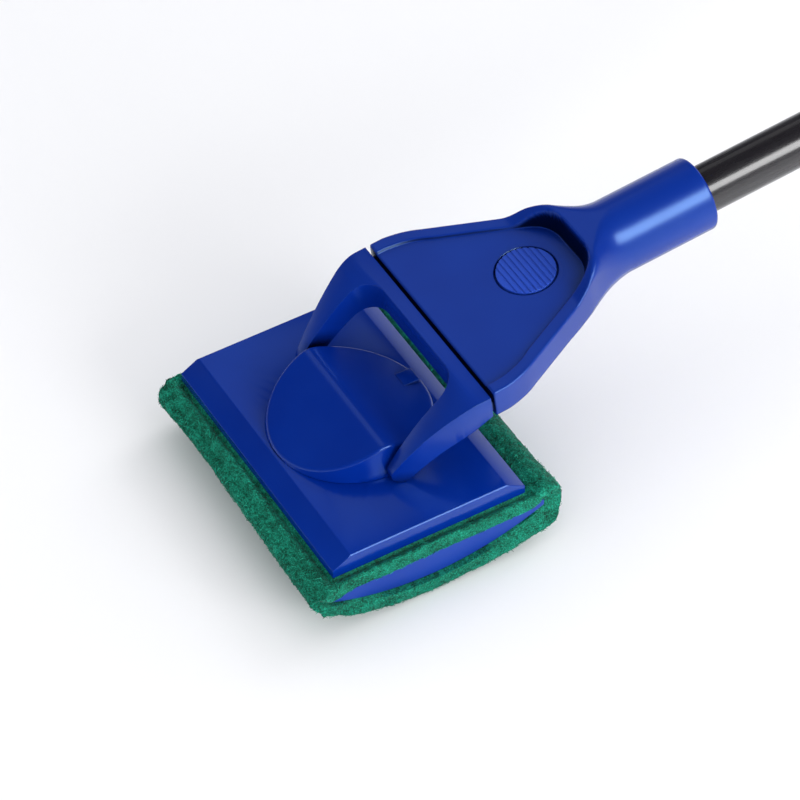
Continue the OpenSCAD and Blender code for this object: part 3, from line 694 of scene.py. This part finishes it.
def pad_surface():
    """The sleeve's skin: outside, rounded cut ends and the inside against the core, as one grid."""
    half_l = PAD_HIGH[1]
    count = 256
    pts, out = pad_section(count)
    # Each row goes once round the pad. The rows of an end face step outwards from the core, by
    # their depth under the skin, and the last two round the cut edge.
    depth = np.concatenate([np.linspace(PAD_THICK - 0.3, 0.9, 6), [0.45, 0.15]])
    ys = np.concatenate([np.full(6, -half_l + 0.05), [-half_l + 0.12, -half_l + 0.45],
                         np.linspace(-half_l + 1.1, half_l - 1.1, 120),
                         [half_l - 0.45, half_l - 0.12], np.full(6, half_l - 0.05)])
    inset = np.concatenate([depth, np.zeros(120), depth[::-1]])
    rows = [np.stack([pts[:, 0] - out[:, 0] * d, np.full(count, y), pts[:, 1] - out[:, 1] * d], -1)
            for y, d in zip(ys, inset)]
    grid = np.array(rows)
    normal = np.zeros_like(grid)
    normal[..., 0] = out[None, :, 0]
    normal[..., 2] = out[None, :, 1]
    ends = inset > 0.3
    normal[ends] = [0, 1, 0]
    normal[ends & (ys < 0)] = [0, -1, 0]
    flat, n = grid.reshape(-1, 3), normal.reshape(-1, 3)
    lumps = (0.30 * value_noise(flat, 8, 1) + 0.26 * value_noise(flat, 2.6, 2)
             + 0.50 * value_noise(flat, 1.3, 3) + 0.34 * value_noise(flat, 0.75, 4))
    across = np.tile(np.stack([out[:, 0], np.zeros(count), out[:, 1]], -1), (len(ys), 1))
    x, y = flat[:, 0], flat[:, 1]
    low = across[:, 2] < -0.2
    # How far the skin stands off its even thickness: pressed thin along the far edge, fuller along
    # the handle's edge, and sagging below it.
    tight = 2.4 + 1.1 * y / half_l - 1.4 * smooth(y, half_l - 28, half_l)
    loose = (-0.45 - tight * smooth(-x, 26, 38) * (across[:, 0] < 0)
             + (0.6 + 0.8 * smooth(-y, 25, 46)) * smooth(x, 28, 40) * (across[:, 0] > 0)
             + 1.9 * smooth(x, 6, 32) * low)
    thinnest = 1.2
    loose = np.maximum(loose, thinnest - PAD_THICK) * (1 - np.repeat(inset, count) / PAD_THICK)
    flat = flat + across * loose[:, None] + n * 0.36 * lumps[:, None]
    # The near end stands out further below the core and along the far edge.
    lower_part = smooth(CORE_LOW[2] + 4 - flat[:, 2], 0, 3)
    flat[:, 1] -= 1.5 * smooth(-y, 43, half_l) * np.maximum(lower_part, smooth(-x, 27, 36))
    flat[:, 1] -= corner_pull(flat.reshape(len(ys), count, 3), half_l)
    # The plate presses the pad down under itself, and a little beside itself.
    beside = np.maximum(abs(flat[:, 0]) - PLATE_HIGH[0], abs(flat[:, 1]) - PLATE_HIGH[1])
    under = (beside < 0.3) & (flat[:, 2] > CORE_HIGH[2] - 2)
    flat[under, 2] = np.minimum(flat[under, 2], LID - 0.15)
    flat[:, 2] -= 1.5 * (1 - smooth(beside, 0.2, 2.6)) * (beside > 0.3) * (flat[:, 2] > CORE_HIGH[2] + 2)
    flat[:, 2] = np.maximum(flat[:, 2], 0.02)
    return flat, n, lumps, len(ys), count


STRANDS, STRAND_R, STRAND_SEGMENTS = 9000, 0.085, 2


def build_pad():
    """The sleeve and its loose strands as one mesh, with a "shade" value at each point: painted shade on the skin,
    and a tone of its own on each strand.
    """
    rng = np.random.default_rng(7)
    flat, normal, lumps, rows, count = pad_surface()
    faces = loft_faces(rows, count, capped=False)
    inner = [(rows - 1) * count + k for k in range(count)]
    faces += [(k, inner[k], inner[(k + 1) % count], (k + 1) % count) for k in range(count)]
    # Painted shade: the skin is darker where its lumps sink and lighter where they rise.
    shade = 0.05 + 0.30 * np.clip(lumps, -1, 1)
    points, shades = [flat], [shade]
    start = len(flat)
    sides = 3
    pick = rng.integers(0, len(flat), STRANDS * 2)
    hidden = ((abs(flat[pick, 0]) < PLATE_HIGH[0] - 2) & (abs(flat[pick, 1]) < PLATE_HIGH[1] - 2)
              & (flat[pick, 2] > CORE_HIGH[2]))
    pick = pick[~hidden][:STRANDS]
    for i in pick:
        base, n = flat[i], normal[i]
        spin = rng.normal(size=3)
        way = spin - n * (spin @ n)
        way /= np.linalg.norm(way) + 1e-9
        bend = np.cross(n, way)
        length = rng.uniform(0.8, 2.2)
        curl = rng.uniform(-0.9, 0.9)
        lift = rng.uniform(0.10, 0.45)
        stray = rng.uniform(-0.35, 0.35)
        s = np.linspace(-0.5, 0.5, STRAND_SEGMENTS + 1)
        line = (base + np.outer(s * length, way) + np.outer((s * length) ** 2 * curl / 2, bend)
                + np.outer(lift * (1 - (2 * s) ** 2) - 0.12 + stray * s, n))
        line[:, 2] = np.maximum(line[:, 2], STRAND_R + 0.02)
        near = (abs(line[:, 0]) < PLATE_HIGH[0] + 0.25) & (abs(line[:, 1]) < PLATE_HIGH[1] + 0.25)
        line[near & (line[:, 2] > LID - 0.3), 2] = LID - 0.3
        r = STRAND_R * rng.uniform(0.6, 1.4)
        ring = [bend * math.cos(a) + n * math.sin(a) for a in np.arange(sides) * 2 * math.pi / sides]
        tube = np.array([[p + c * r * w for c in ring] for p, w in zip(line, [0.5, 1, 0.5])])
        points.append(tube.reshape(-1, 3))
        tone = rng.uniform(-0.15, 0.50)
        shades.append(np.full(tube.shape[0] * sides, tone))
        for j in range(STRAND_SEGMENTS):
            a = start + j * sides
            for k in range(sides):
                m = (k + 1) % sides
                faces.append((a + k, a + m, a + sides + m, a + sides + k))
        faces.append((start + 2, start + 1, start))
        last = start + STRAND_SEGMENTS * sides
        faces.append((last, last + 1, last + 2))
        start += tube.shape[0] * sides
    pad = make_object("scouring_pad_fibre", np.vstack(points) * MM, faces, 80)
    layer = pad.data.attributes.new("shade", "FLOAT", "POINT")
    layer.data.foreach_set("value", np.concatenate(shades).astype(np.float32))
    dress(pad, "pad_green")
    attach(pad, "head")
    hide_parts("scouring_pad")


# ---------------------------------------------------------------- stage

AZIMUTH, ELEVATION, ROLL = -28.99, 46.40, -1.61    # where the camera looks from, in degrees
LENS = 188.3                                       # focal length, in millimetres
CAMERA_DISTANCE = 1223.0                           # to the point it looks at, in millimetres
LOOK_AT = (16.52, -0.30, PLATE_HIGH[2])


def make_camera():
    """A long lens that looks down on the piece from the front left."""
    a, e = math.radians(AZIMUTH), math.radians(ELEVATION)
    back = Vector((math.sin(a) * math.cos(e), -math.cos(a) * math.cos(e), math.sin(e)))
    right = Vector((math.cos(a), math.sin(a), 0))
    turn = Matrix.Rotation(math.radians(ROLL), 3, back)
    right = turn @ right
    up = back.cross(right)
    camera = bpy.data.objects.new("camera", bpy.data.cameras.new("camera"))
    camera.data.lens = LENS
    camera.data.sensor_width = 36
    camera.data.clip_end = 100
    camera.matrix_world = Matrix.Translation((Vector(LOOK_AT) + back * CAMERA_DISTANCE) * MM) @ Matrix(
        (right, up, back)).transposed().to_4x4()
    bpy.context.scene.collection.objects.link(camera)
    bpy.context.scene.camera = camera


def area_light(name, at, size, power, colour=(1, 1, 1), aim=(0.02, 0, 0.02)):
    """A rectangular lamp that points from at to aim."""
    data = bpy.data.lights.new(name, "AREA")
    data.shape = "RECTANGLE"
    data.size, data.size_y = size
    data.energy = power
    data.color = colour
    lamp = bpy.data.objects.new(name, data)
    lamp.location = at
    lamp.rotation_euler = (Vector(aim) - Vector(at)).to_track_quat("-Z", "Y").to_euler()
    bpy.context.scene.collection.objects.link(lamp)
    return lamp


def make_world():
    """A white room to the camera. In gloss and on matt surfaces, a pale horizon under a dark ceiling."""
    world = bpy.data.worlds.new("studio")
    world.use_nodes = True
    tree = world.node_tree
    glow = tree.nodes["Background"]
    sight = tree.nodes.new("ShaderNodeTexCoord")
    parts = tree.nodes.new("ShaderNodeSeparateXYZ")
    height = tree.nodes.new("ShaderNodeValToRGB")
    band = height.color_ramp
    band.elements[0].position, band.elements[0].color = 0.0, (0.80, 0.81, 0.85, 1)
    band.elements[1].position, band.elements[1].color = 0.5, (0.01, 0.012, 0.02, 1)
    middle = band.elements.new(0.2)
    middle.color = (0.20, 0.21, 0.24, 1)
    tree.links.new(sight.outputs["Generated"], parts.inputs[0])
    tree.links.new(parts.outputs["Z"], height.inputs["Fac"])
    path = tree.nodes.new("ShaderNodeLightPath")
    seen = tree.nodes.new("ShaderNodeMixRGB")
    seen.inputs["Color2"].default_value = (0.97, 0.975, 1.0, 1)
    tree.links.new(path.outputs["Is Camera Ray"], seen.inputs["Fac"])
    tree.links.new(height.outputs["Color"], seen.inputs["Color1"])
    tree.links.new(seen.outputs["Color"], glow.inputs["Color"])
    bpy.context.scene.world = world


def make_fill():
    """Large soft walls and a ceiling round the piece, that light it without showing in its gloss.
    Each has its place, its size, its brightness, where 1 would look white, and where it points."""
    far, tall = 2.5, 2.4
    walls = {"fill_top": ((0, 0, tall), (5, 5), 0.87, (0, 0, 0)),
             "fill_right": ((far, 0, tall / 2), (5, tall), 0.88, (0, 0, tall / 2)),
             "fill_left": ((-far, 0, tall / 2), (5, tall), 0.68, (0, 0, tall / 2)),
             "fill_back": ((0, far, tall / 2), (5, tall), 0.88, (0, 0, tall / 2)),
             "fill_front": ((0, -far, tall / 2), (5, tall), 1.0, (0, 0, tall / 2))}
    for name, (at, size, level, aim) in walls.items():
        lamp = area_light(name, at, size, level * math.pi * size[0] * size[1], (0.985, 0.99, 1.0), aim)
        lamp.visible_glossy = False
        lamp.visible_camera = False


def make_stage():
    """Pale floor that is clear from below, a pale world and soft boxes from the right."""
    bpy.ops.mesh.primitive_plane_add(size=12)
    floor = bpy.context.object
    floor.name = "floor"
    p = Paint("floor_white", 0.35, Specular_IOR_Level=0.3)
    p.surface.inputs["Base Color"].default_value = (0.875, 0.875, 0.89, 1)
    clear = p.add("BsdfTransparent")
    mix = p.add("MixShader")
    p.link(p.add("NewGeometry").outputs["Backfacing"], mix.inputs["Fac"])
    p.link(p.surface.outputs["BSDF"], mix.inputs[1])
    p.link(clear.outputs["BSDF"], mix.inputs[2])
    p.link(mix.outputs["Shader"], p.tree.nodes["Material Output"].inputs["Surface"])
    floor.data.materials.append(p.material)
    make_world()
    make_fill()
    key = area_light("key", (1.28, 0.40, 0.88), (0.8, 0.8), 6)
    key.visible_glossy = False
    front = area_light("front", (0.30, -1.1, 0.40), (0.8, 0.5), 10)
    front.visible_glossy = False
    card = area_light("card", (0.40, -0.98, 0.79), (1.3, 0.6), 25)
    card.visible_diffuse = False
    sheen = area_light("sheen", (0.17, 0.62, 0.78), (0.40, 0.38), 0.21)
    sheen.visible_diffuse = False
    bpy.context.scene.view_settings.view_transform = "Standard"


dress_frame()
build_connector()
build_spring()
build_turret()
build_pad()
make_stage()
make_camera()
